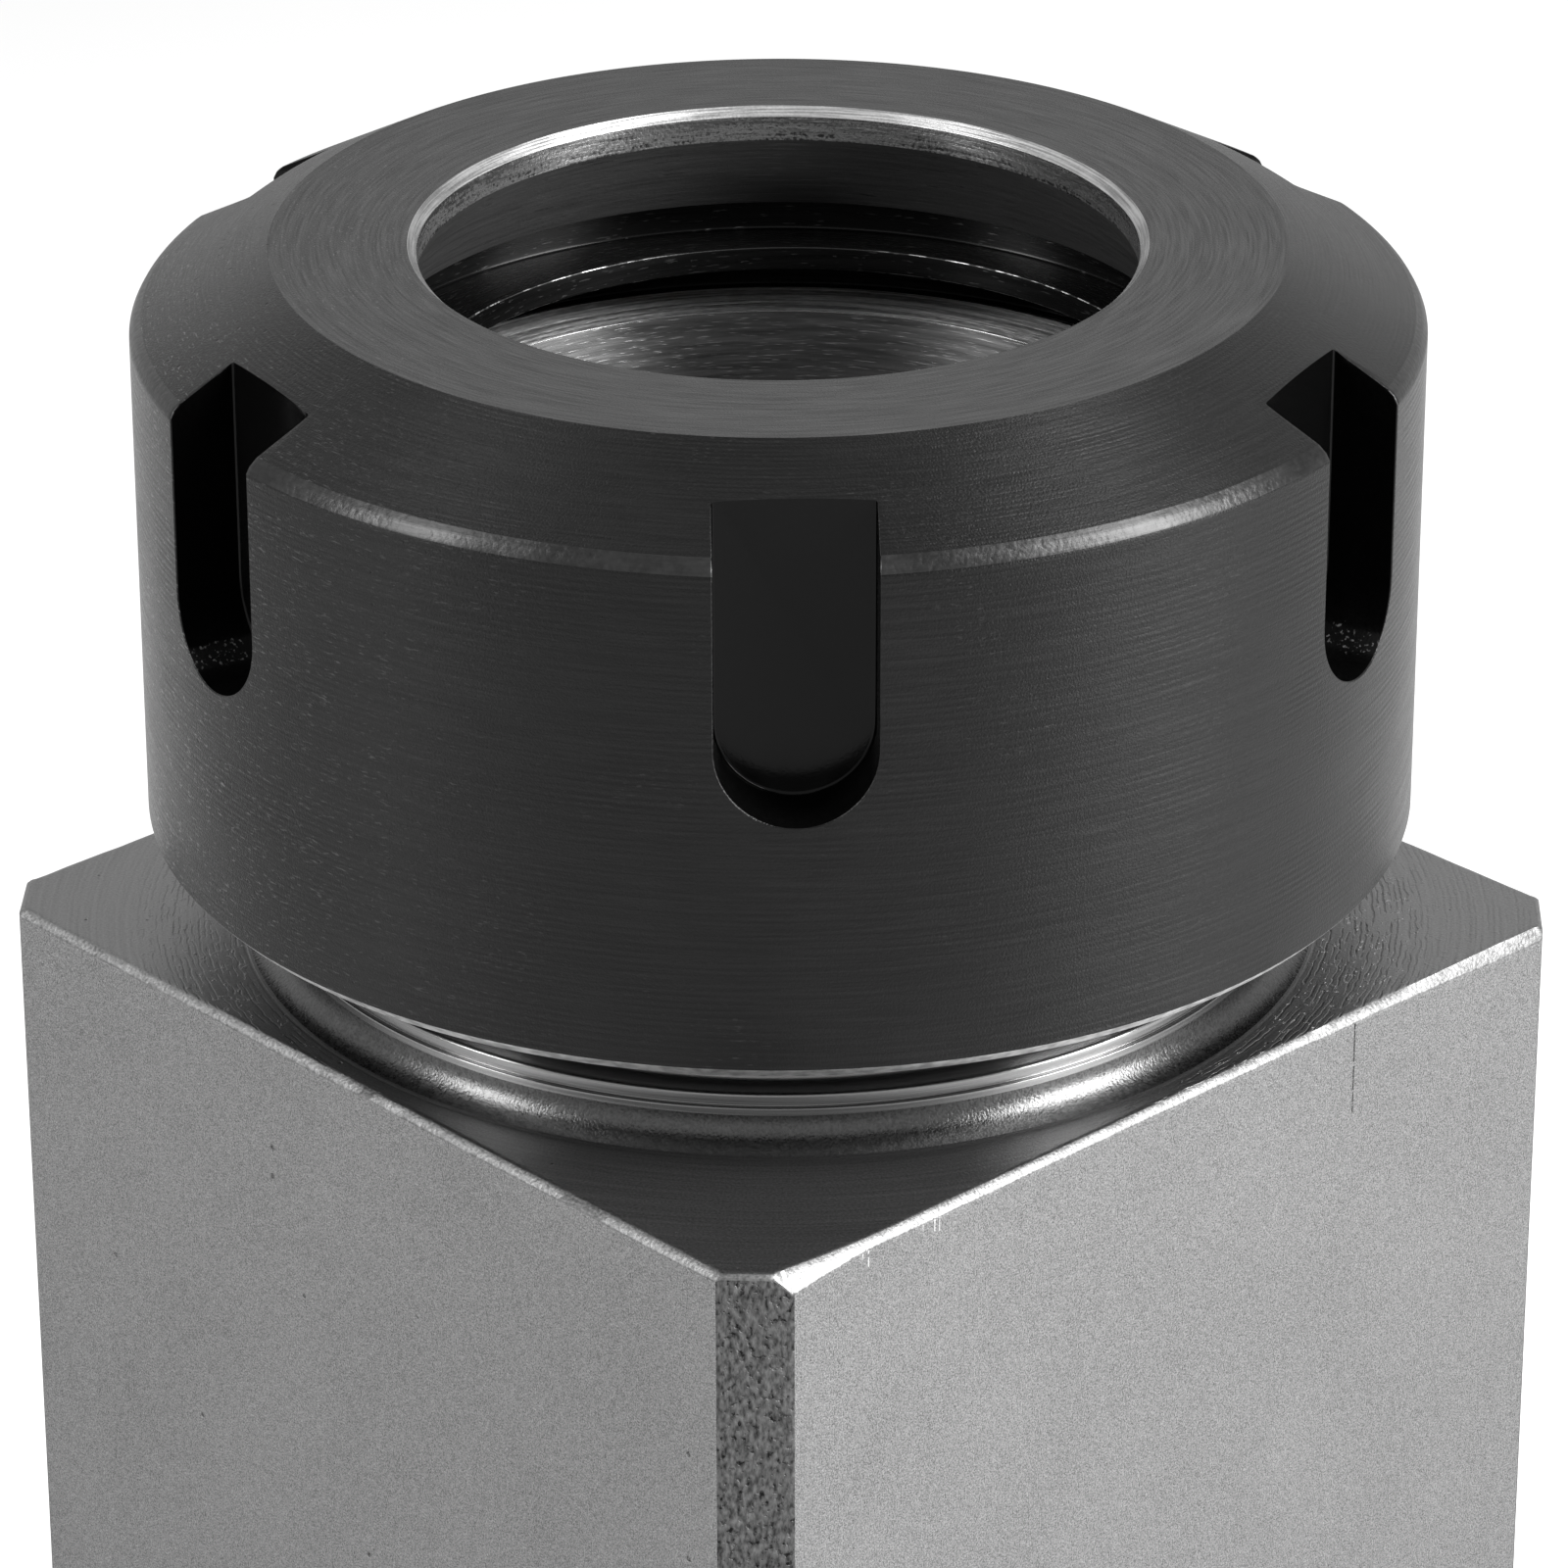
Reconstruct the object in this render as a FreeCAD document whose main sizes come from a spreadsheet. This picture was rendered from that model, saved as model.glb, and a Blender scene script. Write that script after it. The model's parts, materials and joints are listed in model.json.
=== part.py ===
"""Square collet block: a square block with a threaded, taper-bored nose, and its slotted clamping nut.

Millimetres, +Z up. The origin is the centre of the block's bottom face.
The block's flat sides face along X and Y.
"""

import FreeCAD
import Part

import math
import os

import Sketcher

# Driving sizes, in millimetres and degrees. Each one can be changed by itself.
SIZES = [
    # The square block
    ("block_side", 45.0, "width across the flat sides"),
    ("block_height", 65.0, "height of the square part"),
    ("corner_flat", 2.0, "leg of the flat on each upright corner"),
    ("edge_break", 0.5, "broken edges round the top and bottom faces"),
    ("bore_diameter", 22.0, "through bore below the taper"),
    ("bore_break", 0.5, "broken edge at the bore's lower mouth"),
    # The nose on top of the block
    ("collar_proud", 0.3, "how far the low collar stands outside the thread"),
    ("collar_height", 1.5, "top of the collar above the block"),
    ("collar_ledge", 0.5, "least ledge between the collar and the top face's edge"),
    ("cove_radius", 1.2, "concave fillet between block and collar"),
    ("cove_land", 0.1, "least flat between the cove and the top face's edge"),
    ("step_drop", 0.2, "how far the bright step lies inside the collar"),
    ("step_height", 0.5, "height of that step"),
    ("relief_depth", 1.0, "depth of the thread relief"),
    ("relief_width", 4.0, "height of the thread relief"),
    ("nose_height", 19.0, "end face of the nose above the block"),
    ("nose_chamfer", 1.4, "lead-in at the end of the thread"),
    ("socket_diameter", 32.0, "mouth of the collet's taper"),
    ("socket_angle", 8.0, "taper, from the axis"),
    # The clamping nut
    ("nut_diameter", 50.0, "outside diameter"),
    ("nut_wall", 5.0, "from the thread's outside to the nut's outside"),
    ("nut_length", 23.5, "length along the axis"),
    ("nut_gap", 5.1, "nut's back face above the block"),
    ("nut_turn", -41.8, "turn at which the nut stands on its thread"),
    ("back_break", 0.5, "broken edge at the back"),
    ("crown_width", 5.4, "from the flat front face to the outside"),
    ("crown_drop", 2.6, "fall of the cone outside the front face"),
    ("rim_break", 0.45, "small bevel where the cone meets the rim"),
    ("mouth_diameter", 27.8, "front opening"),
    ("mouth_break", 0.35, "broken edge of the opening"),
    ("mouth_land", 1.0, "straight part of the opening"),
    ("seat_diameter", 31.8, "wide end of the collet's front seat"),
    ("seat_angle", 30.0, "that seat, from the axis"),
    ("groove_diameter", 35.6, "groove behind the seat"),
    ("groove_width", 1.9, "width of that groove at its floor"),
    ("lip_diameter", 29.2, "eccentric lip that draws the collet out"),
    ("lip_offset", 0.5, "its distance off the nut's axis"),
    ("lip_rise", 0.6, "slope of the lip's upper side"),
    ("lip_thickness", 1.1, "thickness of the lip at its edge"),
    ("undercut_depth", 0.5, "relief at the inner end of the nut's thread"),
    ("undercut_width", 3.0, "width of that relief"),
    ("thread_lead", 0.75, "lead-in at the nut's back"),
    ("thread_clearance", 0.05, "radial clearance between nut and nose"),
    ("slot_count", 6, "spanner slots round the nut"),
    ("slot_width", 6.0, "width of a slot, with a round lower end"),
    ("slot_depth", 2.9, "depth of a slot's flat floor"),
    ("slot_length", 13.1, "length of a slot from the front face"),
]

# Places that follow from the driving sizes.
PLACES = [
    # The thread that both pieces share
    ("thread_diameter", "nut_diameter - 2 * nut_wall"),
    ("thread_radius", "thread_diameter / 2"),
    # The square block and its nose
    ("half_side", "block_side / 2"),
    ("top_half_side", "half_side - edge_break"),
    ("collar_radius", "min(thread_radius + collar_proud; top_half_side - collar_ledge)"),
    ("collar_top", "block_height + collar_height"),
    ("cove_size", "min(cove_radius; top_half_side - collar_radius - cove_land)"),
    ("step_radius", "collar_radius - step_drop"),
    ("step_top", "collar_top + step_height"),
    ("relief_radius", "thread_radius - relief_depth"),
    ("relief_top", "step_top + relief_width"),
    ("thread_start", "relief_top + thread_radius - relief_radius"),
    ("nose_top", "block_height + nose_height"),
    ("nose_shoulder", "nose_top - nose_chamfer"),
    ("nose_face_radius", "thread_radius - nose_chamfer"),
    ("bore_radius", "bore_diameter / 2"),
    ("bore_mouth_radius", "bore_radius + bore_break"),
    ("socket_radius", "socket_diameter / 2"),
    ("socket_floor", "nose_top - (socket_radius - bore_radius) / tan(socket_angle)"),
    # The nut, measured up from its back face
    ("nut_seat", "block_height + nut_gap"),
    ("nut_radius", "nut_diameter / 2"),
    ("back_radius", "nut_radius - back_break"),
    ("crown_radius", "nut_radius - rim_break"),
    ("crown_height", "nut_length - crown_drop"),
    ("rim_height", "crown_height - rim_break"),
    ("face_radius", "nut_radius - crown_width"),
    ("mouth_radius", "mouth_diameter / 2"),
    ("mouth_edge_radius", "mouth_radius + mouth_break"),
    ("land_top", "nut_length - mouth_break"),
    ("land_bottom", "land_top - mouth_land"),
    ("seat_radius", "seat_diameter / 2"),
    ("seat_bottom", "land_bottom - (seat_radius - mouth_radius) / tan(seat_angle)"),
    ("groove_radius", "groove_diameter / 2"),
    ("groove_bottom", "seat_bottom - groove_width"),
    ("lip_radius", "lip_diameter / 2"),
    ("lip_stock_radius", "lip_radius - 2 * lip_offset"),
    ("lip_top", "groove_bottom + lip_rise"),
    ("lip_bottom", "lip_top - lip_thickness"),
    ("lip_cut", "seat_bottom - lip_bottom"),
    ("undercut_radius", "thread_radius + undercut_depth"),
    ("undercut_bottom", "lip_bottom - undercut_width"),
    ("nut_bore_radius", "thread_radius + thread_clearance"),
    ("nut_bore_mouth", "nut_bore_radius + thread_lead"),
    ("slot_half_width", "slot_width / 2"),
    ("slot_centre", "nut_length - slot_length + slot_half_width"),
    ("slot_floor", "nut_radius - slot_depth"),
]

FULL_TURN = 360.0
SAME_PLACE = 1e-4


def write_sheet(doc):
    """Columns A to C hold the driving sizes as plain numbers. E and F hold the places that follow."""
    sheet = doc.addObject("Spreadsheet::Sheet", "sizes")
    for row, (name, number, meaning) in enumerate(SIZES, start=1):
        sheet.set(f"A{row}", name)
        sheet.set(f"B{row}", str(number))
        sheet.setAlias(f"B{row}", name)
        sheet.set(f"C{row}", meaning)
    for row, (name, formula) in enumerate(PLACES, start=1):
        sheet.set(f"E{row}", name)
        sheet.set(f"F{row}", f"={formula}")
        sheet.setAlias(f"F{row}", name)
    doc.recompute()
    return sheet


def origin_feature(body, role):
    """A body's own origin plane or axis, found by its role."""
    return next(part for part in body.Origin.OriginFeatures if part.Role == role)


def new_sketch(body, name, plane):
    sketch = body.newObject("Sketcher::SketchObject", name)
    sketch.AttachmentSupport = [(origin_feature(body, plane), "")]
    sketch.MapMode = "FlatFace"
    return sketch


def pin_coordinate(sketch, kind, geometry, point, name):
    """Ties one coordinate of a sketch point to a cell. None is the axis itself."""
    axis_line = -2 if kind == "DistanceX" else -1
    if name is None:
        sketch.addConstraint(Sketcher.Constraint("PointOnObject", geometry, point, axis_line))
        return
    number = sketch.Document.sizes.get(name)
    index = sketch.addConstraint(Sketcher.Constraint(kind, -1, 1, geometry, point, number))
    sketch.setExpression(f"Constraints[{index}]", f"sizes.{name}")


def half_section(body, name, corners):
    """A closed outline beside the Z axis. Each corner is a radius and a height, both named cells."""
    sheet = body.Document.sizes
    sketch = new_sketch(body, name, "XZ_Plane")

    def position(corner):
        radius, height = (0.0 if cell is None else sheet.get(cell) for cell in corner)
        return FreeCAD.Vector(radius, height, 0.0)

    places = [position(corner) for corner in corners]
    count = len(corners)
    for index in range(count):
        following = places[(index + 1) % count]
        sketch.addGeometry(Part.LineSegment(places[index], following))
    for index in range(count):
        sketch.addConstraint(Sketcher.Constraint("Coincident", index, 2, (index + 1) % count, 1))
    for index, (radius, height) in enumerate(corners):
        pin_coordinate(sketch, "DistanceX", index, 1, radius)
        pin_coordinate(sketch, "DistanceY", index, 1, height)
    return sketch


def turned(body, name, sketch, kind="PartDesign::Revolution"):
    """A half section turned about the Z axis, to add metal or, as a groove, to take it away."""
    feature = body.newObject(kind, name)
    feature.Profile = sketch
    feature.ReferenceAxis = (sketch, ["V_Axis"])
    feature.Angle = FULL_TURN
    sketch.Visibility = False
    return feature


def edges_where(feature, test):
    """Names of the feature's edges that pass the test."""
    found = []
    for number, edge in enumerate(feature.Shape.Edges, start=1):
        if test(edge):
            found.append(f"Edge{number}")
    return found


def dress(body, kind, name, feature, edges, size):
    """A chamfer or fillet on some of a feature's edges, with its size tied to a cell."""
    dressed = body.newObject(kind, name)
    dressed.Base = (feature, edges)
    prop = "Radius" if kind.endswith("Fillet") else "Size"
    dressed.setExpression(prop, f"sizes.{size}")
    return dressed


def is_upright(edge):
    return abs(edge.tangentAt(edge.FirstParameter).z) > 1.0 - SAME_PLACE


def lies_at(edge, height):
    """Whether the whole edge lies in the level plane at this height."""
    box = edge.BoundBox
    return abs(box.ZMin - height) < SAME_PLACE and abs(box.ZMax - height) < SAME_PLACE


def make_block(doc):
    """The square block, its nose, the taper socket and the bore, all one piece of steel."""
    sheet = doc.sizes
    body = doc.addObject("PartDesign::Body", "collet_block")
    body.Label = "collet_block"

    plan = new_sketch(body, "block_plan", "XY_Plane")
    half = sheet.get("half_side")
    corners = [(-half, -half), (half, -half), (half, half), (-half, half)]
    for index in range(4):
        start = FreeCAD.Vector(*corners[index], 0.0)
        end = FreeCAD.Vector(*corners[(index + 1) % 4], 0.0)
        plan.addGeometry(Part.LineSegment(start, end))
    for index in range(4):
        plan.addConstraint(Sketcher.Constraint("Coincident", index, 2, (index + 1) % 4, 1))
        plan.addConstraint(Sketcher.Constraint("Vertical" if index % 2 else "Horizontal", index))
    plan.addConstraint(Sketcher.Constraint("Symmetric", 0, 1, 1, 2, -1, 1))
    for kind, line in (("DistanceX", 0), ("DistanceY", 1)):
        index = plan.addConstraint(Sketcher.Constraint(kind, line, 1, line, 2, 2 * half))
        plan.setExpression(f"Constraints[{index}]", "sizes.block_side")

    bar = body.newObject("PartDesign::Pad", "square_bar")
    bar.Profile = plan
    bar.setExpression("Length", "sizes.block_height")
    plan.Visibility = False
    doc.recompute()

    upright = edges_where(bar, is_upright)
    flats = dress(body, "PartDesign::Chamfer", "corner_flats", bar, upright, "corner_flat")
    doc.recompute()

    top = sheet.get("block_height")
    ends = edges_where(flats, lambda edge: lies_at(edge, 0.0) or lies_at(edge, top))
    breaks = dress(body, "PartDesign::Chamfer", "broken_edges", flats, ends, "edge_break")
    doc.recompute()

    outline = half_section(
        body,
        "nose_outline",
        [
            (None, "block_height"),
            ("collar_radius", "block_height"),
            ("collar_radius", "collar_top"),
            ("step_radius", "collar_top"),
            ("step_radius", "step_top"),
            ("relief_radius", "step_top"),
            ("relief_radius", "relief_top"),
            ("thread_radius", "thread_start"),
            ("thread_radius", "nose_shoulder"),
            ("nose_face_radius", "nose_top"),
            (None, "nose_top"),
        ],
    )
    nose = turned(body, "nose", outline)
    doc.recompute()

    def is_collar_foot(edge):
        radius = getattr(edge.Curve, "Radius", 0.0)
        return lies_at(edge, top) and abs(radius - sheet.get("collar_radius")) < SAME_PLACE

    foot = edges_where(nose, is_collar_foot)
    cove = dress(body, "PartDesign::Fillet", "cove", nose, foot, "cove_size")
    doc.recompute()

    hollow = half_section(
        body,
        "socket_outline",
        [
            (None, None),
            ("bore_mouth_radius", None),
            ("bore_radius", "bore_break"),
            ("bore_radius", "socket_floor"),
            ("socket_radius", "nose_top"),
            (None, "nose_top"),
        ],
    )
    socket = turned(body, "socket_and_bore", hollow, "PartDesign::Groove")
    doc.recompute()
    for earlier, later in ((bar, flats), (flats, breaks), (cove, socket)):
        if later.Shape.Volume >= earlier.Shape.Volume:
            raise RuntimeError(f"{later.Name} took nothing away")
    return body


def slot_sketch(body):
    """The outline of one spanner slot: straight sides, a round lower end, and open at the front face."""
    sheet = body.Document.sizes
    sketch = new_sketch(body, "slot_outline", "YZ_Plane")
    sketch.setExpression(".AttachmentOffset.Base.z", "sizes.slot_floor")
    half = sheet.get("slot_half_width")
    centre = sheet.get("slot_centre")
    top = sheet.get("nut_length")
    top_left = FreeCAD.Vector(-half, top, 0.0)
    low_left = FreeCAD.Vector(-half, centre, 0.0)
    low_right = FreeCAD.Vector(half, centre, 0.0)
    top_right = FreeCAD.Vector(half, top, 0.0)
    full_end = Part.Circle(FreeCAD.Vector(0.0, centre, 0.0), FreeCAD.Vector(0.0, 0.0, 1.0), half)
    left, right, end, mouth = range(4)
    sketch.addGeometry(Part.LineSegment(top_left, low_left))
    sketch.addGeometry(Part.LineSegment(low_right, top_right))
    sketch.addGeometry(Part.ArcOfCircle(full_end, math.pi, 2.0 * math.pi))
    sketch.addGeometry(Part.LineSegment(top_right, top_left))
    sketch.addConstraint(Sketcher.Constraint("Vertical", left))
    sketch.addConstraint(Sketcher.Constraint("Vertical", right))
    sketch.addConstraint(Sketcher.Constraint("Horizontal", mouth))
    sketch.addConstraint(Sketcher.Constraint("Tangent", left, 2, end, 1))
    sketch.addConstraint(Sketcher.Constraint("Tangent", end, 2, right, 1))
    sketch.addConstraint(Sketcher.Constraint("Coincident", right, 2, mouth, 1))
    sketch.addConstraint(Sketcher.Constraint("Coincident", mouth, 2, left, 1))
    pin_coordinate(sketch, "DistanceX", end, 3, None)
    pin_coordinate(sketch, "DistanceY", end, 3, "slot_centre")
    pin_coordinate(sketch, "DistanceX", right, 2, "slot_half_width")
    pin_coordinate(sketch, "DistanceY", right, 2, "nut_length")
    return sketch


def make_nut(doc):
    """The clamping nut, modelled up from its back face and then set on the nose."""
    sheet = doc.sizes
    body = doc.addObject("PartDesign::Body", "clamping_nut")
    body.Label = "clamping_nut"

    section = half_section(
        body,
        "nut_section",
        [
            ("nut_bore_mouth", None),
            ("back_radius", None),
            ("nut_radius", "back_break"),
            ("nut_radius", "rim_height"),
            ("crown_radius", "crown_height"),
            ("face_radius", "nut_length"),
            ("mouth_edge_radius", "nut_length"),
            ("mouth_radius", "land_top"),
            ("mouth_radius", "land_bottom"),
            ("seat_radius", "seat_bottom"),
            ("groove_radius", "seat_bottom"),
            ("groove_radius", "groove_bottom"),
            ("lip_stock_radius", "lip_top"),
            ("lip_stock_radius", "lip_bottom"),
            ("undercut_radius", "lip_bottom"),
            ("undercut_radius", "undercut_bottom"),
            ("nut_bore_radius", "undercut_bottom"),
            ("nut_bore_radius", "thread_lead"),
        ],
    )
    ring = turned(body, "turned_ring", section)
    doc.recompute()

    circle = new_sketch(body, "lip_circle", "XY_Plane")
    circle.setExpression(".AttachmentOffset.Base.z", "sizes.lip_bottom")
    centre = FreeCAD.Vector(0.0, sheet.get("lip_offset"), 0.0)
    circle.addGeometry(Part.Circle(centre, FreeCAD.Vector(0.0, 0.0, 1.0), sheet.get("lip_radius")))
    pin_coordinate(circle, "DistanceX", 0, 3, None)
    pin_coordinate(circle, "DistanceY", 0, 3, "lip_offset")
    index = circle.addConstraint(Sketcher.Constraint("Radius", 0, sheet.get("lip_radius")))
    circle.setExpression(f"Constraints[{index}]", "sizes.lip_radius")
    lip = body.newObject("PartDesign::Pocket", "eccentric_lip")
    lip.Profile = circle
    lip.Reversed = True
    lip.setExpression("Length", "sizes.lip_cut")
    circle.Visibility = False
    doc.recompute()

    outline = slot_sketch(body)
    slot = body.newObject("PartDesign::Pocket", "spanner_slot")
    slot.Profile = outline
    slot.Reversed = True
    slot.setExpression("Length", "sizes.slot_depth")
    outline.Visibility = False
    doc.recompute()

    slots = body.newObject("PartDesign::PolarPattern", "spanner_slots")
    slots.Originals = [slot]
    slots.Axis = (origin_feature(body, "Z_Axis"), [""])
    slots.Angle = FULL_TURN
    slots.setExpression("Occurrences", "sizes.slot_count")
    body.Tip = slots

    body.Placement.Rotation = FreeCAD.Rotation(FreeCAD.Vector(0.0, 0.0, 1.0), sheet.get("nut_turn"))
    body.setExpression(".Placement.Rotation.Angle", "sizes.nut_turn")
    body.setExpression(".Placement.Base.z", "sizes.nut_seat")
    doc.recompute()
    for earlier, later in ((ring, lip), (lip, slot), (slot, slots)):
        if later.Shape.Volume >= earlier.Shape.Volume:
            raise RuntimeError(f"{later.Name} took nothing away")
    return body


def check_model(doc, bodies):
    """Stops on a failed feature or a sub-part that isn't one closed, valid solid."""
    for item in doc.Objects:
        if {"Invalid", "Error"} & set(item.State):
            raise RuntimeError(f"{item.Name} failed: {item.State}")
    for body in bodies:
        shape = body.Shape
        if shape.isNull() or not shape.isValid() or len(shape.Solids) != 1:
            raise RuntimeError(f"{body.Label} isn't one valid solid")


def main():
    doc = FreeCAD.newDocument("collet_block_and_nut")
    write_sheet(doc)
    bodies = [make_block(doc), make_nut(doc)]
    doc.recompute()
    check_model(doc, bodies)
    os.makedirs("parts", exist_ok=True)
    for body in bodies:
        body.Shape.exportStep(f"parts/{body.Label}.step")
        box = body.Shape.BoundBox
        print(f"{body.Label}: {body.Shape.Volume:.1f} mm3, z {box.ZMin:.2f} to {box.ZMax:.2f} mm")


main()
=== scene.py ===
"""Looks of the square collet block: its finished steel, the nose's thread, the light and the camera.

Metres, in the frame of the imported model: +Z up, the origin in the middle of the block's bottom face.
"""

import json
import math

import bmesh
import bpy
import numpy as np
from mathutils import Matrix, Vector


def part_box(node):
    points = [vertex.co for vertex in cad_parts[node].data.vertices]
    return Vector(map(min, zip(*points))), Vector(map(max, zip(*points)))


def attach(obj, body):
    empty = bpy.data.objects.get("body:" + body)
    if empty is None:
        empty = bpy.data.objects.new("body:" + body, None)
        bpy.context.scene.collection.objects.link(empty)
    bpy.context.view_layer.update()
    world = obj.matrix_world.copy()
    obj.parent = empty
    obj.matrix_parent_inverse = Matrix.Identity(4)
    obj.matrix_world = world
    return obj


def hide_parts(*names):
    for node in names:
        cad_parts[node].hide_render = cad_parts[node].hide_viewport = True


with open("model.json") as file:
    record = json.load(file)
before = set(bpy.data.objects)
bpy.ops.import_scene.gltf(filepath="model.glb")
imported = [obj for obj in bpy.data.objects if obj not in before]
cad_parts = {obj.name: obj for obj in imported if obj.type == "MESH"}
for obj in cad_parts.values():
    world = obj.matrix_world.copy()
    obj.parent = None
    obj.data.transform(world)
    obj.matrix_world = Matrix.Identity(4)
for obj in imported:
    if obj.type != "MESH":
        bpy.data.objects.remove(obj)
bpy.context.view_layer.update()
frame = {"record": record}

MM = 0.001

# Sizes that the frame gives
BLOCK_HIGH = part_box("collet_block")[1]
NUT_LOW, NUT_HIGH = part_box("clamping_nut")
MOUNTS = {mount["name"]: mount for mount in frame["record"]["mounts"]}
HALF_SIDE = BLOCK_HIGH.x
NOSE_TOP = BLOCK_HIGH.z
NUT_BACK = NUT_LOW.z
NUT_FRONT = NUT_HIGH.z
BORE_RADIUS = MOUNTS["through_bore"]["dims"]["r_mm"] * MM

# The square block
BLOCK_TOP = 65.0 * MM
CORNER_FLAT = 2.0 * MM
EDGE_BREAK = 0.3 * MM
CORNER_BREAK = 0.17 * MM
BORE_BREAK = 0.5 * MM
SIDE_EASE = 0.35 * MM
EDGE_EASE = 0.06 * MM
EDGE_WAVER = 0.03 * MM
# At the front corner the right top edge is filed wider, and the facet runs on across part of the flat.
# The far flare is the slighter widening towards the same edge's other end.
FLARE_LENGTH = 5.0 * MM
FLARE_DEPTH = 0.5 * MM
FLARE_WIDTH = 0.67 * MM
FAR_FLARE_LENGTH = 14.0 * MM
FAR_FLARE_DEPTH = 0.25 * MM

# The nose
COVE_RADIUS = 1.2 * MM
COLLAR_RADIUS = 20.3 * MM
COLLAR_TOP = 66.5 * MM
STEP_RADIUS = 20.1 * MM
STEP_TOP = 67.0 * MM
RELIEF_RADIUS = 19.0 * MM
RELIEF_TOP = 71.0 * MM
THREAD_RADIUS = 20.0 * MM
THREAD_PITCH = 1.5 * MM
THREAD_DEPTH = 0.92 * MM
NOSE_CHAMFER = 1.4 * MM
SOCKET_RADIUS = 16.0 * MM
SOCKET_SLOPE = math.tan(math.radians(8.0))

# The clamping nut. Heights are measured up from its back face.
NUT_RADIUS = 25.0 * MM
NUT_LENGTH = NUT_FRONT - NUT_BACK
NUT_TURN = math.radians(-41.8)
BACK_BREAK = 0.5 * MM
CROWN_WIDTH = 5.4 * MM
CROWN_DROP = 2.6 * MM
# The rounded rim between the nut's cylinder and its crown, as (inwards, up from the crown's foot)
RIM = [(0.0, -0.55 * MM), (0.2 * MM, -0.19 * MM), (0.47 * MM, 0.01 * MM)]
MOUTH_RADIUS = 13.9 * MM
MOUTH_BREAK = 0.35 * MM
MOUTH_LAND = 1.0 * MM
SEAT_RADIUS = 15.9 * MM
SEAT_ANGLE = math.radians(30.0)
GROOVE_RADIUS = 17.8 * MM
GROOVE_WIDTH = 1.9 * MM
LIP_RADIUS = 14.6 * MM
LIP_THROW = 0.5 * MM
LIP_RISE = 0.46 * MM
LIP_THICKNESS = 0.96 * MM
UNDERCUT_RADIUS = 20.5 * MM
UNDERCUT_WIDTH = 3.0 * MM
LAND_FOOT = NUT_LENGTH - MOUTH_BREAK - MOUTH_LAND
SEAT_FOOT = LAND_FOOT - (SEAT_RADIUS - MOUTH_RADIUS) / math.tan(SEAT_ANGLE)
GROOVE_FOOT = SEAT_FOOT - GROOVE_WIDTH
LIP_TOP = GROOVE_FOOT + LIP_RISE
LIP_FOOT = LIP_TOP - LIP_THICKNESS
NUT_BORE_RADIUS = 20.05 * MM
NUT_BORE_LEAD = 0.75 * MM
SLOT_COUNT = 6
SLOT_WIDTH = 6.0 * MM
SLOT_DEPTH = 2.9 * MM
SLOT_LENGTH = 13.1 * MM
SLOT_EDGE = 0.07 * MM
SLOT_CORNER = 0.12 * MM
# How far a slot's cutter reaches past the nut's face and past its cylinder
CUTTER_ABOVE = 1.0 * MM
CUTTER_BEYOND = 2.0 * MM

# How finely forms are divided
STATIONS = 480
EASE_STEPS = 4
COVE_STEPS = 10
SIDE_EASE_STEPS = 3
SIDE_PIECES = 170
FLAT_PIECES = 8
SLOT_STEPS = 40
# The most that an easing takes of a straight part, and how much further out a row holds the shading
EASE_SHARE = 0.3
HOLD_REACH = 1.6
SMOOTH_BELOW = math.radians(34.0)
SAME_POINT = 1e-6
# How near a size a face's centre lies to count as on it
NEAR = 1e-5

# Wear and marks, in millimetres and seen from above
RUN_RADIUS = 20.0
WORN_SIDE = math.radians(-128.0)
FEED = 0.28
# Height at which the side slots' nicks and painted glints are centred
NICK_AND_PAINTED_GLINT_HEIGHT = (NUT_FRONT - SLOT_LENGTH) / MM + 0.6
CHATTER_RADIUS = 21.5
CHATTER_PITCH = 0.24
TORN_SIDE = math.radians(45.0)
SCRATCHES = [
    # across the side, top end, length, width, change of level
    (-13.05, 64.9, 1.2, 0.03, 0.3),
    (-13.3, 64.8, 0.7, 0.04, 0.3),
    (-13.9, 64.8, 0.5, 0.03, 0.25),
    (-16.7, 64.8, 0.9, 0.04, 0.3),
    (-17.0, 64.8, 0.5, 0.04, 0.25),
    (9.55, 65.0, 4.4, 0.045, -0.2),
]


# Node graphs, for materials and for geometry


def maths(operation, turned=False):
    """A method that adds a Math node. turned puts the other value first, as in 1 - mask."""

    def method(self, *others):
        terms = (*others, self) if turned else (self, *others)
        return self.graph.add("ShaderNodeMath", dict(enumerate(terms)), operation=operation)

    return method


class Value:
    """One socket of a graph. Arithmetic on it adds Math nodes to that graph."""

    def __init__(self, graph, socket):
        self.graph = graph
        self.socket = socket

    __add__ = __radd__ = maths("ADD")
    __mul__ = __rmul__ = maths("MULTIPLY")
    __sub__ = maths("SUBTRACT")
    __rsub__ = maths("SUBTRACT", turned=True)
    __truediv__ = maths("DIVIDE")
    __rtruediv__ = maths("DIVIDE", turned=True)
    __pow__ = maths("POWER")
    __rpow__ = maths("POWER", turned=True)
    least = maths("MINIMUM")
    most = maths("MAXIMUM")
    below = maths("LESS_THAN")
    above = maths("GREATER_THAN")
    size = maths("ABSOLUTE")
    sine = maths("SINE")
    cosine = maths("COSINE")
    floor = maths("FLOOR")

    def ramp(self, low, high, start=0.0, end=1.0):
        """Rises smoothly from start to end as the value goes from low to high."""
        sockets = {"Value": self, "From Min": low, "From Max": high, "To Min": start, "To Max": end}
        return self.graph.add("ShaderNodeMapRange", sockets, interpolation_type="SMOOTHSTEP")


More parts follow.
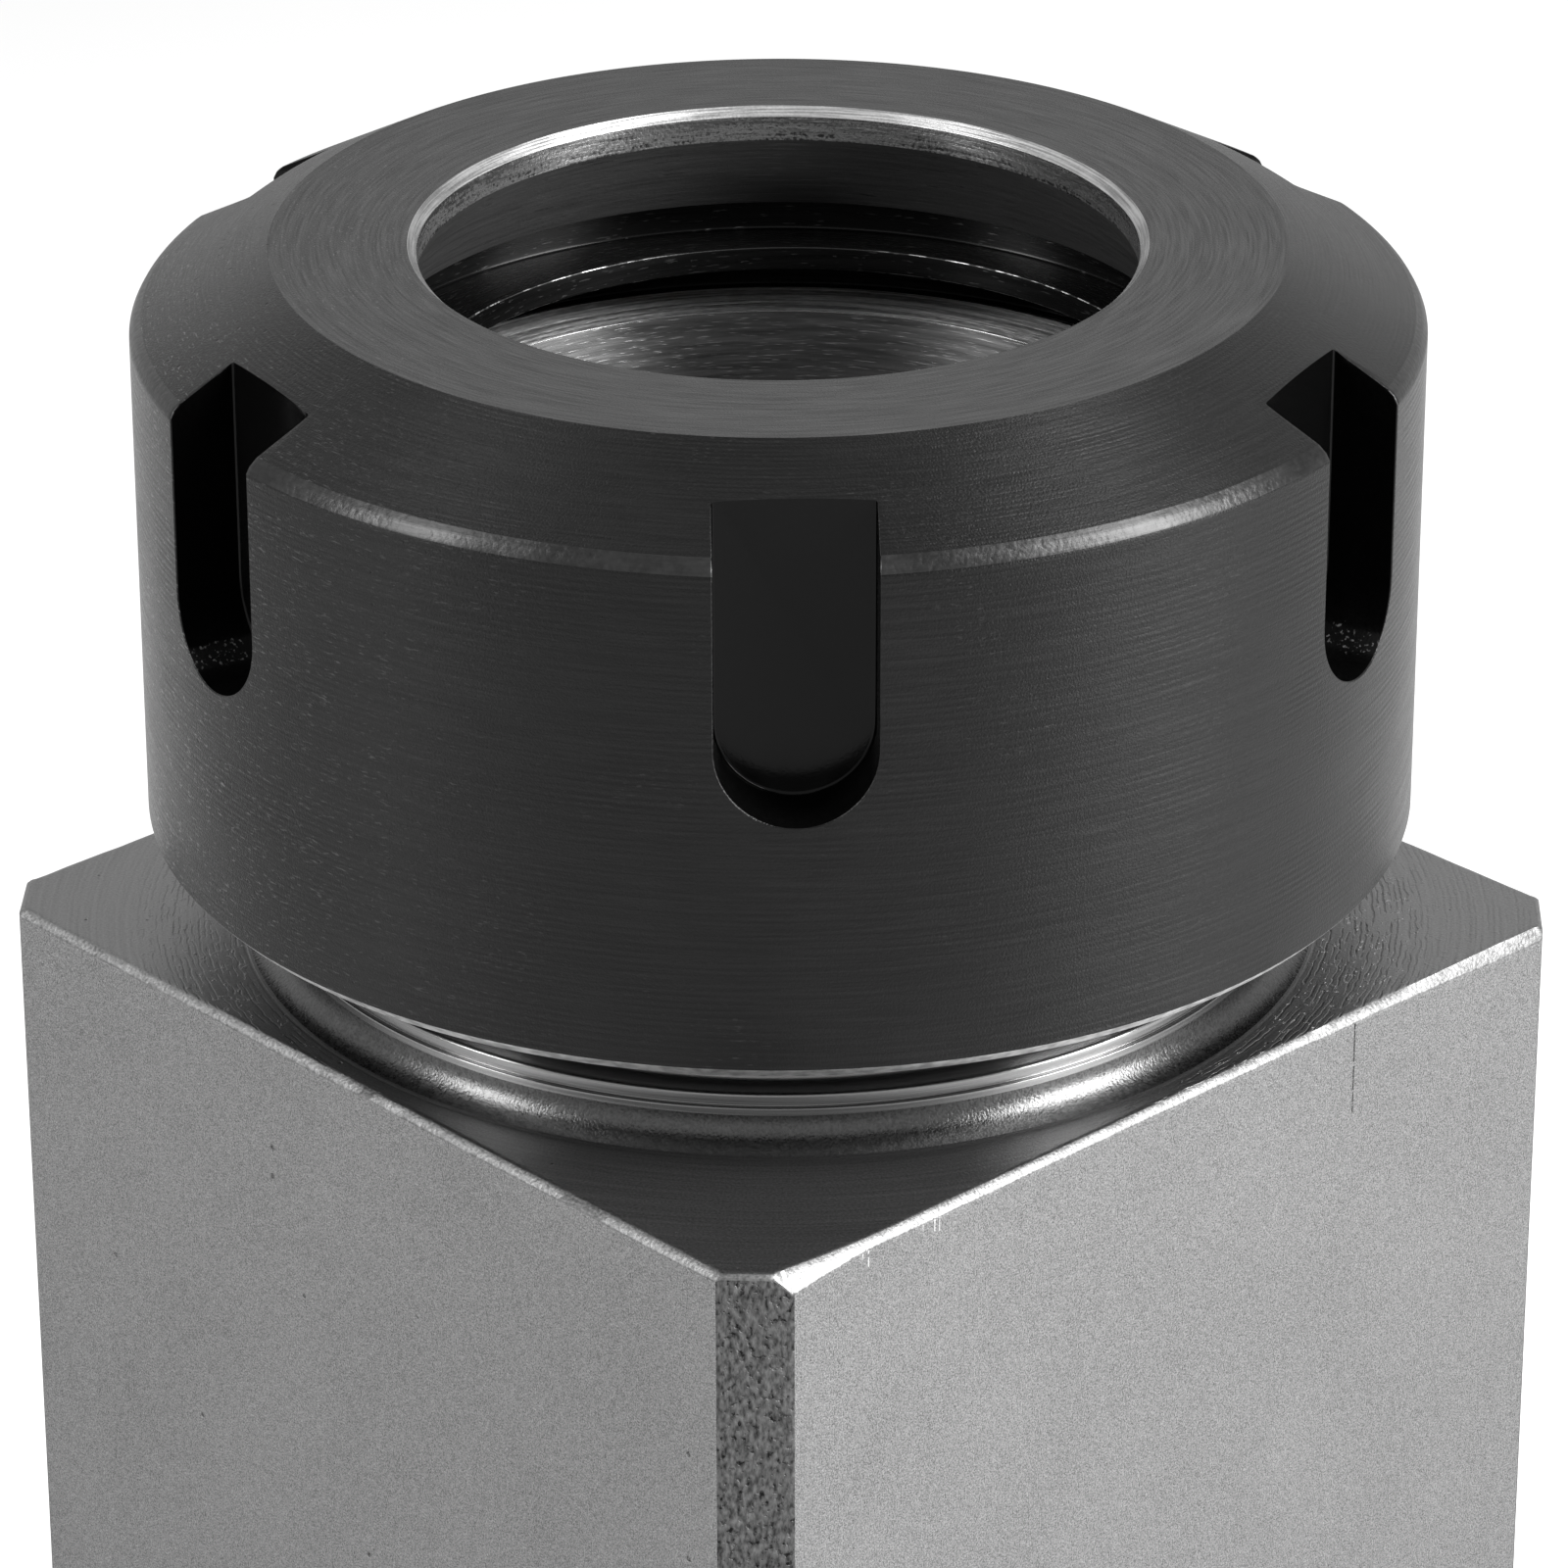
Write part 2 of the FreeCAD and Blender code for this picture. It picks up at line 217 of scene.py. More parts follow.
class Graph:
    """A node tree, with one method that adds every kind of node."""

    def __init__(self, tree):
        self.tree = tree

    def add(self, kind, sockets=None, output=0, **settings):
        """Adds a node: first its settings, then its sockets' values or links. Gives one of its outputs."""
        node = self.tree.nodes.new(kind)
        for name, setting in settings.items():
            setattr(node, name, setting)
        for key, value in (sockets or {}).items():
            if isinstance(value, Value):
                self.tree.links.new(value.socket, node.inputs[key])
            else:
                node.inputs[key].default_value = value
        return Value(self, node.outputs[output]) if node.outputs else None

    def sibling(self, value, output):
        """Another output of the node that a value came from."""
        return Value(self, value.socket.node.outputs[output])


# Turned forms


def eased(corners, close=False):
    """A profile with each corner rounded. A corner is (radius, height, easing in mm, off-axis share).

    Gives points (radius, height, off-axis share). One beside each rounding holds the shading of the
    straight part flat.
    """
    count = len(corners)
    points = []
    for index, (radius, height, ease, share) in enumerate(corners):
        here = Vector((radius, height))
        if not close and index in (0, count - 1):
            points.append((radius, height, share))
            continue
        before = Vector(corners[index - 1][:2]) - here
        after = Vector(corners[(index + 1) % count][:2]) - here
        half_angle = before.angle(after) / 2
        longest = min(before.length, after.length) * EASE_SHARE
        reach = min(ease * MM / math.tan(half_angle), longest)
        start = here + before.normalized() * reach
        end = here + after.normalized() * reach

        def hold(side, next_share):
            place = here + side.normalized() * reach * HOLD_REACH
            return (*place, share + (next_share - share) * (place - here).length / side.length)

        points.append(hold(before, corners[index - 1][3]))
        for step in range(EASE_STEPS + 1):
            t = step / EASE_STEPS
            place = start * (1 - t) ** 2 + here * 2 * t * (1 - t) + end * t**2
            points.append((*place, share))
        points.append(hold(after, corners[(index + 1) % count][3]))
    if close:
        points.append(points[0])
    return points


def geometry_tree(name, inputs):
    """A geometry tree with a Geometry input and output, the named inputs and one for its steel."""
    inputs["Steel"] = "NodeSocketMaterial"
    tree = bpy.data.node_groups.new(name, "GeometryNodeTree")
    tree.interface.new_socket("Geometry", in_out="OUTPUT", socket_type="NodeSocketGeometry")
    tree.interface.new_socket("Geometry", in_out="INPUT", socket_type="NodeSocketGeometry")
    for label, kind in inputs.items():
        tree.interface.new_socket(label, in_out="INPUT", socket_type=kind)
    graph = Graph(tree)
    group = graph.add("NodeGroupInput")
    return graph, {label: graph.sibling(group, label) for label in ("Geometry", *inputs)}


def end_tree(graph, geometry, steel):
    """Every tree ends by making its instances real and giving them their steel."""
    real = graph.add("GeometryNodeRealizeInstances", {"Geometry": geometry})
    finished = graph.add("GeometryNodeSetMaterial", {"Geometry": real, "Material": steel})
    graph.add("NodeGroupOutput", {"Geometry": finished})


def turning_tree():
    """Turns a profile about Z. A row can stand off the axis, and a threaded row climbs as it goes.

    The thread runs out at both ends: from Thread Foot at Foot Radius, and to Thread End at End Radius.
    """
    sizes = ("Start", "Throw", "Pitch", "Thread Foot", "Thread End", "Foot Radius", "End Radius")
    inputs = {"Stations": "NodeSocketInt", **dict.fromkeys(sizes, "NodeSocketFloat")}
    graph, given = geometry_tree("turning", inputs)
    profile = given["Geometry"]
    rows = graph.add("GeometryNodeAttributeDomainSize", {"Geometry": profile}, component="MESH")
    columns = given["Stations"] + 1
    grid = graph.add("GeometryNodeMeshGrid", {"Vertices X": rows, "Vertices Y": columns})

    index = graph.add("GeometryNodeInputIndex")
    row = (index / columns).floor()
    column = index - row * columns
    position = graph.add("GeometryNodeInputPosition")

    def from_profile(kind, value):
        sockets = {"Geometry": profile, "Value": value, "Index": row}
        return graph.add("GeometryNodeSampleIndex", sockets, data_type=kind, domain="POINT")

    def row_share(name):
        share = graph.add("GeometryNodeInputNamedAttribute", {"Name": name}, data_type="FLOAT")
        return from_profile("FLOAT", share)

    place = graph.add("ShaderNodeSeparateXYZ", {0: from_profile("FLOAT_VECTOR", position)})
    radius, height = place, graph.sibling(place, 2)
    off_axis = row_share("off_axis")
    threaded = row_share("threaded")

    turns = column / given["Stations"]
    foot, end = given["Thread Foot"], given["Thread End"]
    climbed = (height + given["Pitch"] * turns).most(foot).least(end)
    envelope = (given["Foot Radius"] + climbed - foot).least(given["End Radius"] + end - climbed)
    cut_height = height + threaded * (climbed - height)
    cut_radius = radius + threaded * (radius.least(envelope) - radius)

    angle = turns * 2 * math.pi + given["Start"]
    throw = off_axis * given["Throw"]
    x = angle.cosine() * cut_radius - given["Start"].sine() * throw
    y = angle.sine() * cut_radius + given["Start"].cosine() * throw
    target = graph.add("ShaderNodeCombineXYZ", {0: x, 1: y, 2: cut_height})
    shaped = graph.add("GeometryNodeSetPosition", {"Geometry": grid, "Position": target})
    closed = graph.add("GeometryNodeMergeByDistance", {"Geometry": shaped, "Distance": SAME_POINT})
    end_tree(graph, closed, given["Steel"])
    return graph.tree


def slotting_tree():
    """Cuts a ring of equal slots with one tool."""
    inputs = {"Slots": "NodeSocketInt", "Start": "NodeSocketFloat", "Tool": "NodeSocketObject"}
    graph, given = geometry_tree("slotting", inputs)
    tool = graph.add("GeometryNodeObjectInfo", {"Object": given["Tool"]}, output="Geometry")
    no_offset = (0.0, 0.0, 0.0)
    places = graph.add("GeometryNodeMeshLine", {"Count": given["Slots"], "Offset": no_offset})
    index = graph.add("GeometryNodeInputIndex")
    turn = index * 2 * math.pi / given["Slots"] + given["Start"]
    turns = graph.add("ShaderNodeCombineXYZ", {2: turn})
    sockets = {"Points": places, "Instance": tool, "Rotation": turns}
    ring = graph.add("GeometryNodeInstanceOnPoints", sockets)
    cutters = graph.add("GeometryNodeRealizeInstances", {"Geometry": ring})
    sockets = {"Mesh 1": given["Geometry"], "Mesh 2": cutters}
    cut = graph.add("GeometryNodeMeshBoolean", sockets, operation="DIFFERENCE", solver="MANIFOLD")
    end_tree(graph, cut, given["Steel"])
    return graph.tree


def in_scene(name, data):
    """A new object, linked to the scene."""
    made = bpy.data.objects.new(name, data)
    bpy.context.scene.collection.objects.link(made)
    return made


def grown(tree, mesh, settings):
    """The plain mesh that a geometry tree makes of a starting mesh."""
    start = in_scene("start", mesh)
    modifier = start.modifiers.new("rule", "NODES")
    modifier.node_group = tree
    identifiers = {item.name: item.identifier for item in tree.interface.items_tree}
    for name, value in settings.items():
        modifier[identifiers[name]] = value
    bpy.context.view_layer.update()
    evaluated = start.evaluated_get(bpy.context.evaluated_depsgraph_get())
    made = bpy.data.meshes.new_from_object(evaluated)
    bpy.data.objects.remove(start)
    return made


def profile_mesh(points, threaded=()):
    """A profile as a row of loose points, with what the turning tree asks of each."""
    mesh = bpy.data.meshes.new("profile")
    mesh.from_pydata([(radius, 0.0, height) for radius, height, _ in points], [], [])
    off_axis = mesh.attributes.new("off_axis", "FLOAT", "POINT")
    off_axis.data.foreach_set("value", [share for _, _, share in points])
    flags = mesh.attributes.new("threaded", "FLOAT", "POINT")
    flags.data.foreach_set("value", [float(index in threaded) for index in range(len(points))])
    return mesh


# The clamping nut


def slot_outline(ease):
    """A slot's two sides and round end, moved outwards by ease. Y runs across it, Z up."""
    half = SLOT_WIDTH / 2 + ease
    centre = NUT_FRONT - SLOT_LENGTH + SLOT_WIDTH / 2
    top = NUT_FRONT + CUTTER_ABOVE
    rises = [top - (top - centre) * step / SLOT_STEPS for step in range(SLOT_STEPS)]
    arc = [math.pi + math.pi * step / SLOT_STEPS for step in range(SLOT_STEPS + 1)]
    left = [(-half, height) for height in rises]
    end = [(half * math.cos(a), centre + half * math.sin(a)) for a in arc]
    right = [(half, height) for height in reversed(rises)]
    return left + end + right


def skin_distance(y, z):
    """How far out along X the nut's outside lies, at a place across and up the slot."""
    rise = z - NUT_BACK
    ends = [(NUT_RADIUS - inward, NUT_LENGTH - CROWN_DROP + up) for inward, up in RIM]
    ends.append((NUT_RADIUS - CROWN_WIDTH, NUT_LENGTH))
    ends.append((NUT_RADIUS - 2 * CROWN_WIDTH, NUT_LENGTH + CROWN_DROP))
    radius = np.interp(rise, [height for _, height in ends], [radius for radius, _ in ends])
    return math.sqrt(max(radius**2 - y**2, 0.0))


def slot_tool():
    """A slot's cutter: a flat floor, a small corner radius, upright walls and a mouth that eases the edge.

    The walls stay above the corner radius where the crown nears the slot's floor.
    """
    floor = NUT_RADIUS - SLOT_DEPTH
    quarter = [math.pi / 2 * step / EASE_STEPS for step in range(EASE_STEPS + 1)]
    sections = []
    for a in quarter:
        inset = SLOT_CORNER * (1 - math.sin(a))
        height = floor + SLOT_CORNER * (1 - math.cos(a))
        sections.append([(height, y, z) for y, z in slot_outline(-inset)])

    def wall(ease, above_skin, least):
        return [(max(skin_distance(y, z) + above_skin, least), y, z) for y, z in slot_outline(ease)]

    for a in quarter[:-1]:
        below = SLOT_EDGE * (1 - math.sin(a))
        sections.append(wall(SLOT_EDGE * (1 - math.cos(a)), -below, floor + 1.2 * SLOT_CORNER))
    mouth = SLOT_EDGE * 1.6
    sections.append(wall(mouth, SLOT_EDGE * 0.6, floor + 2 * SLOT_CORNER))
    sections.append([(NUT_RADIUS + CUTTER_BEYOND, y, z) for y, z in slot_outline(mouth)])
    return solid_of_sections("slot_tool", sections)


def banded(loops, count):
    """Four-sided faces between loops of equal count, whose points follow one another."""
    faces = []
    for low in range(0, (loops - 1) * count, count):
        for index in range(count):
            a, b = low + index, low + (index + 1) % count
            faces.append((a, b, b + count, a + count))
    return faces


def solid_of_sections(name, sections):
    """A closed solid lofted through sections of equal count, with both ends capped."""
    count = len(sections[0])
    points = [point for section in sections for point in section]
    ends = [tuple(range(count)), tuple(range(len(points) - 1, len(points) - 1 - count, -1))]
    faces = ends + banded(len(sections), count)
    mesh = bpy.data.meshes.new(name)
    mesh.from_pydata(points, [], faces)
    outward(mesh)
    return mesh


def outward(mesh):
    """Merges doubles and turns every face outwards."""
    shape = bmesh.new()
    shape.from_mesh(mesh)
    bmesh.ops.remove_doubles(shape, verts=shape.verts, dist=SAME_POINT)
    bmesh.ops.recalc_face_normals(shape, faces=shape.faces)
    if shape.calc_volume(signed=True) < 0:
        bmesh.ops.reverse_faces(shape, faces=shape.faces)
    shape.to_mesh(mesh)
    shape.free()


def nut_corners():
    """The nut's half section, anticlockwise from its bore's lower end, as eased takes it."""
    crown = NUT_LENGTH - CROWN_DROP
    undercut_foot = LIP_FOOT - UNDERCUT_WIDTH
    corners = [
        (NUT_BORE_RADIUS + NUT_BORE_LEAD, 0.0, 0.06, 0),
        (NUT_RADIUS - BACK_BREAK, 0.0, 0.1, 0),
        (NUT_RADIUS, BACK_BREAK, 0.1, 0),
        *[(NUT_RADIUS - inward, crown + up, 0.5, 0) for inward, up in RIM],
        (NUT_RADIUS - CROWN_WIDTH, NUT_LENGTH, 0.12, 0),
        (MOUTH_RADIUS + MOUTH_BREAK, NUT_LENGTH, 0.05, 0),
        (MOUTH_RADIUS, NUT_LENGTH - MOUTH_BREAK, 0.05, 0),
        (MOUTH_RADIUS, LAND_FOOT, 0.05, 0),
        (SEAT_RADIUS, SEAT_FOOT, 0.05, 0),
        (GROOVE_RADIUS, SEAT_FOOT, 0.12, 0),
        (GROOVE_RADIUS, GROOVE_FOOT, 0.12, 0),
        (LIP_RADIUS, LIP_TOP, 0.06, 1),
        (LIP_RADIUS, LIP_FOOT, 0.06, 1),
        (UNDERCUT_RADIUS, LIP_FOOT, 0.15, 0),
        (UNDERCUT_RADIUS, undercut_foot, 0.1, 0),
        (NUT_BORE_RADIUS, undercut_foot, 0.05, 0),
        (NUT_BORE_RADIUS, NUT_BORE_LEAD, 0.06, 0),
    ]
    return [(radius, NUT_BACK + height, ease, share) for radius, height, ease, share in corners]


def make_nut(turning, slotting, finishes):
    ring = grown(
        turning,
        profile_mesh(eased(nut_corners(), close=True)),
        {"Stations": STATIONS, "Start": NUT_TURN, "Throw": LIP_THROW, "Steel": finishes["oxide"]},
    )
    outward(ring)
    tool = bpy.data.objects.new("slot_tool", slot_tool())
    slotted = grown(
        slotting,
        ring,
        {"Slots": SLOT_COUNT, "Start": NUT_TURN, "Tool": tool, "Steel": finishes["oxide"]},
    )
    bpy.data.objects.remove(tool)
    return slotted


# The block with its nose


def thread_rows():
    """The nose's thread as rows of a profile: flat crests and roots with straight flanks between them.

    A share is how far along one pitch a row lies, and how far down the thread's depth.
    """
    shares = ((0.0, 0.0), (0.125, 0.0), (0.3125, 0.5), (0.5, 1.0), (0.625, 1.0), (0.8125, 0.5))
    height = RELIEF_TOP - THREAD_PITCH
    rows = []
    while height < NOSE_TOP + THREAD_PITCH:
        for along, depth in shares:
            rows.append((THREAD_RADIUS - THREAD_DEPTH * depth, height + along * THREAD_PITCH, 0))
        height += THREAD_PITCH
    return rows


def nose_profile():
    """From the cove on the block's top face, over the nose and down through the socket and bore.

    Gives the profile's points, and which of them are the thread's.
    """
    cove_rim = COLLAR_RADIUS + COVE_RADIUS
    cove_height = BLOCK_TOP + COVE_RADIUS
    cove = []
    for step in range(COVE_STEPS):
        a = math.pi / 2 * step / COVE_STEPS
        cove.append((cove_rim - COVE_RADIUS * math.sin(a), cove_height - COVE_RADIUS * math.cos(a), 0))
    neck = eased(
        [
            (COLLAR_RADIUS, cove_height, 0, 0),
            (COLLAR_RADIUS, COLLAR_TOP, 0.1, 0),
            (STEP_RADIUS, COLLAR_TOP, 0.03, 0),
            (STEP_RADIUS, STEP_TOP, 0.15, 0),
            (RELIEF_RADIUS, STEP_TOP, 0.3, 0),
            (RELIEF_RADIUS, RELIEF_TOP, 0, 0),
        ]
    )
    thread = thread_rows()
    socket_floor = NOSE_TOP - (SOCKET_RADIUS - BORE_RADIUS) / SOCKET_SLOPE
    hollow = eased(
        [
            (THREAD_RADIUS - NOSE_CHAMFER, NOSE_TOP, 0, 0),
            (SOCKET_RADIUS, NOSE_TOP, 0.03, 0),
            (BORE_RADIUS, socket_floor, 1.0, 0),
            (BORE_RADIUS, BORE_BREAK, 0.1, 0),
            (BORE_RADIUS + BORE_BREAK, 0.0, 0, 0),
        ]
    )
    before = len(cove) + len(neck)
    return cove + neck + thread + hollow, range(before, before + len(thread))


def bar_outline(inset=0.0):
    """The square with its corner flats, seen from above: points and their outward directions."""
    reach = SIDE_EASE * math.tan(math.radians(45.0) / 2)
    half = HALF_SIDE - inset
    short = 2 * HALF_SIDE - CORNER_FLAT - math.sqrt(2) * inset - half
    corners = [Vector((half, -short)), Vector((half, short))]
    for _ in range(3):
        corners += [Vector((-corner.y, corner.x)) for corner in corners[-2:]]
    places = []
    for index, corner in enumerate(corners):
        before = (corners[index - 1] - corner).normalized()
        following = corners[(index + 1) % 8]
        after = (following - corner).normalized()
        for step in range(SIDE_EASE_STEPS + 1):
            t = step / SIDE_EASE_STEPS
            place = corner + before * reach * (1 - t) ** 2 + after * reach * t**2
            out = Vector((-before.y, before.x)).lerp(Vector((after.y, -after.x)), t).normalized()
            places.append((place, out))
        straight = following - corner
        pieces = SIDE_PIECES if straight.length > HALF_SIDE else FLAT_PIECES
        for step in range(1, pieces):
            places.append((corner + straight * step / pieces, Vector((after.y, -after.x))))
    return places


def waver(count, seed):
    """A wandering offset round a loop, in short and long waves, like the edge that a hand file leaves."""
    random = np.random.default_rng(seed)
    total = np.zeros(count)
    for width, share in ((3, 0.2), (8, 0.4), (25, 0.4)):
        kernel = np.hanning(2 * width + 1)
        rough = random.normal(size=count)
        joined = np.concatenate([rough[-width:], rough, rough[:width]])
        spread = np.convolve(joined, kernel, "same")[width:-width]
        total += share * spread / spread.std()
    return EDGE_WAVER * np.clip(total, -2.0, 2.0)


def bar_loop(inset, height, wander_in=None, wander_up=None):
    """The bar's outline at a height, wandering inwards or upwards from point to point."""
    loop = []
    for index, (place, out) in enumerate(bar_outline(inset)):
        shift = 0.0 if wander_in is None else wander_in[index]
        lift = 0.0 if wander_up is None else wander_up[index]
        loop.append((place.x - out.x * shift, place.y - out.y * shift, height + lift))
    return loop


def circle_loop(radius, height):
    angles = [2 * math.pi * index / STATIONS for index in range(STATIONS)]
    return [(radius * math.cos(a), radius * math.sin(a), height) for a in angles]


def by_angle(points, start, count):
    """Some of the points as (index, angle), in order round the axis."""
    turned = []
    for index in range(start, start + count):
        turned.append((index, math.atan2(points[index][1], points[index][0]) % (2 * math.pi)))
    return sorted(turned, key=lambda item: item[1])


def zipped(outer, inner):
    """Triangles between two loops round the axis. Both are lists of (index, angle), of any length."""
    faces = []
    i, j = 0, 0
    while i < len(outer) or j < len(inner):
        outer_angle = outer[(i + 1) % len(outer)][1] + 2 * math.pi * ((i + 1) // len(outer))
        inner_angle = inner[(j + 1) % len(inner)][1] + 2 * math.pi * ((j + 1) // len(inner))
        here, there = outer[i % len(outer)][0], inner[j % len(inner)][0]
        if j >= len(inner) or (i < len(outer) and outer_angle <= inner_angle):
            faces.append((here, outer[(i + 1) % len(outer)][0], there))
            i += 1
        else:
            faces.append((here, inner[(j + 1) % len(inner)][0], there))
            j += 1
    return faces


def filed_edges():
    """How far the top bevel's upper edge wanders inwards and its lower edge upwards, point by point."""
    outline = bar_outline()
    upper = waver(len(outline), 11)
    lower = waver(len(outline), 12)
    for index, (place, out) in enumerate(outline):
        on_flat = min(abs(out.x), abs(out.y)) * math.sqrt(2)
        lower[index] += on_flat * (EDGE_BREAK - CORNER_BREAK)
        upper[index] -= on_flat * (EDGE_BREAK - CORNER_BREAK)
        along = place.y + HALF_SIDE - CORNER_FLAT
        if out.x > 0.5 and 0 < along < FLARE_LENGTH:
            lower[index] -= FLARE_DEPTH * (1 - along / FLARE_LENGTH) ** 2
        elif out.x > 0.5 and along <= 0:
            facet_foot = (EDGE_BREAK + FLARE_DEPTH) * (1 + along / FLARE_WIDTH)
            lower[index] -= max(facet_foot - CORNER_BREAK, 0.0)
        far_share = (HALF_SIDE - CORNER_FLAT - place.y) / FAR_FLARE_LENGTH
        if out.x > 0.9 and far_share < 1:
            lower[index] -= FAR_FLARE_DEPTH * (1 - max(far_share, 0.0))
    return upper, lower


def top_loop(beside, below, wander_in):
    """A loop beside the top edge, kept behind the wide facet at the front corner."""
    loop = []
    for x, y, z in bar_loop(EDGE_BREAK + beside, BLOCK_TOP - below, wander_in):
        along = y + HALF_SIDE - CORNER_FLAT
        if x > 0 and along < FLARE_LENGTH:
            share = min(1 - along / FLARE_LENGTH, 1.0)
            width = (FLARE_WIDTH - EDGE_BREAK) * share**2
            x = min(x, HALF_SIDE - EDGE_BREAK - width - beside)
        loop.append((x, y, z))
    return loop


def bar_mesh():
    """The square bar round the nose: upright sides, broken edges, and its two end faces."""
    upper, lower = filed_edges()
    bevel_foot = BLOCK_TOP - EDGE_BREAK
    loops = [
        bar_loop(EDGE_BREAK, 0.0),
        bar_loop(0.0, EDGE_BREAK),
        bar_loop(0.0, EDGE_BREAK + 1.5 * EDGE_EASE),
        bar_loop(0.0, BLOCK_TOP / 2),
        bar_loop(0.0, bevel_foot - 3 * EDGE_EASE, wander_up=lower),
        bar_loop(0.0, bevel_foot - EDGE_EASE, wander_up=lower),
        bar_loop(0.4 * EDGE_EASE, bevel_foot + 0.4 * EDGE_EASE, wander_up=lower),
        top_loop(-0.6 * EDGE_EASE, 0.5 * EDGE_EASE, upper),
        top_loop(EDGE_EASE, 0.0, upper),
        top_loop(3 * EDGE_EASE, 0.0, upper),
    ]
    count = len(loops[0])
    points = [point for loop in loops for point in loop]
    faces = banded(len(loops), count)
    for outer_start, radius, height in (
        (0, BORE_RADIUS + BORE_BREAK, 0.0),
        ((len(loops) - 1) * count, COLLAR_RADIUS + COVE_RADIUS, BLOCK_TOP),
    ):
        inner_start = len(points)
        points += circle_loop(radius, height)
        faces += zipped(by_angle(points, outer_start, count), by_angle(points, inner_start, STATIONS))
    mesh = bpy.data.meshes.new("bar")
    mesh.from_pydata(points, [], faces)
    return mesh


def make_block(turning, finishes):
    points, threaded = nose_profile()
    nose = grown(
        turning,
        profile_mesh(points, threaded),
        {
            "Stations": STATIONS,
            "Pitch": THREAD_PITCH,
            "Thread Foot": RELIEF_TOP,
            "Thread End": NOSE_TOP,
            "Foot Radius": RELIEF_RADIUS,
            "End Radius": THREAD_RADIUS - NOSE_CHAMFER,
            "Steel": finishes["blasted"],
        },
    )
    whole = bmesh.new()
    whole.from_mesh(nose)
    whole.from_mesh(bar_mesh())
    mesh = bpy.data.meshes.new("block")
    whole.to_mesh(mesh)
    whole.free()
    outward(mesh)
    return mesh


# Which finish each face takes. A direction's third part is 1 on a level face and 0 on an upright one.


def paint(mesh, finishes, choose):
    """Gives each face the finish that choose names for its centre and direction."""
    choices = [choose(face.center, face.normal) for face in mesh.polygons]
    names = sorted(set(choices))
    mesh.materials.clear()
    for name in names:
        mesh.materials.append(finishes[name])
    mesh.polygons.foreach_set("material_index", [names.index(name) for name in choices])


def block_finish(centre, direction):
    x, y, z = centre
    radius = math.hypot(x, y)
    if z > BLOCK_TOP + NEAR or radius < BORE_RADIUS + BORE_BREAK:
        return nose_finish(radius, z, direction)
    if abs(direction[2]) > 0.95:
        return "faced" if direction[2] > 0 else "milled"
    if radius < COLLAR_RADIUS + COVE_RADIUS and z > BLOCK_TOP - NEAR:
        return "cove"
    if abs(direction[2]) > 0.2:
        return "broken"
    return "flat" if min(abs(direction[0]), abs(direction[1])) > 0.3 else "blasted"


def nose_finish(radius, z, direction):
    if z < BLOCK_TOP - NEAR or radius < SOCKET_RADIUS - NEAR:
        return "socket"
    if direction[2] > 0.9 and z > NOSE_TOP - NEAR:
        return "nose_face"
    if z < COLLAR_TOP - 0.2 * MM and radius > COLLAR_RADIUS - NEAR:
        return "cove"
    if z < STEP_TOP + NEAR:
        return "ground"
    return "turned"


def nut_finish(centre, direction):
    x, y, z = centre
    radius = math.hypot(x, y)
    rise = z - NUT_BACK
    if radius < MOUTH_RADIUS + MOUTH_BREAK and rise > LAND_FOOT - NEAR:
        return "bared" if rise > NUT_LENGTH - MOUTH_BREAK - 0.03 * MM else "land"
    if rise < BACK_BREAK + NEAR and direction[2] < -0.2 and radius > NUT_RADIUS - BACK_BREAK:
        return "rubbed"
    if radius < SEAT_RADIUS + NEAR and SEAT_FOOT - NEAR < rise < LAND_FOOT and direction[2] < -0.3:
        return "seat"
    # The lip's sloped edges take the finish with painted highlights on its sides
    on_lip = radius < LIP_RADIUS + LIP_THROW + 0.2 * MM and LIP_FOOT - NEAR < rise < LIP_TOP + NEAR
    if on_lip and 0.25 < abs(direction[2]) < 0.97:
        return "nicked"
    if in_slot(x, y, z):
        return "slot"
    # The end face takes the copy of the oxide that is painted lighter
    if rise > NUT_LENGTH - NEAR:
        return "oxide_face"
    crown = NUT_LENGTH - CROWN_DROP
    if radius > NUT_RADIUS - RIM[-1][0] - NEAR and crown + RIM[0][1] < rise < crown + RIM[-1][1]:
        return "rim"
    if radius > SOCKET_RADIUS and (rise < NEAR or radius > NUT_RADIUS - CROWN_WIDTH - MM):
        return "oxide"
    return "oxide_inside"


def in_slot(x, y, z):
    """Whether a place on the nut lies on a slot's walls or floor, below the eased edge."""
    radius = math.hypot(x, y)
    if radius <= NUT_RADIUS - SLOT_DEPTH - NEAR or z <= NUT_FRONT - SLOT_LENGTH - SLOT_EDGE:
        return False
    share = 2 * math.pi / SLOT_COUNT
    turn = (math.atan2(y, x) - NUT_TURN + share / 2) % share - share / 2
    across, out = radius * math.sin(turn), radius * math.cos(turn)
    below_skin = skin_distance(across, z) - out
    return abs(across) < SLOT_WIDTH / 2 + SLOT_EDGE and below_skin > SLOT_EDGE * 0.6


def finish_piece(name, mesh, body, node):
    """Smooth shading with crisp edges, and the piece's place in the frame."""
    mesh.polygons.foreach_set("use_smooth", [True] * len(mesh.polygons))
    mesh.set_sharp_from_angle(angle=SMOOTH_BELOW)
    piece = in_scene(name, mesh)
    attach(piece, body)
    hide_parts(node)


# Finishes


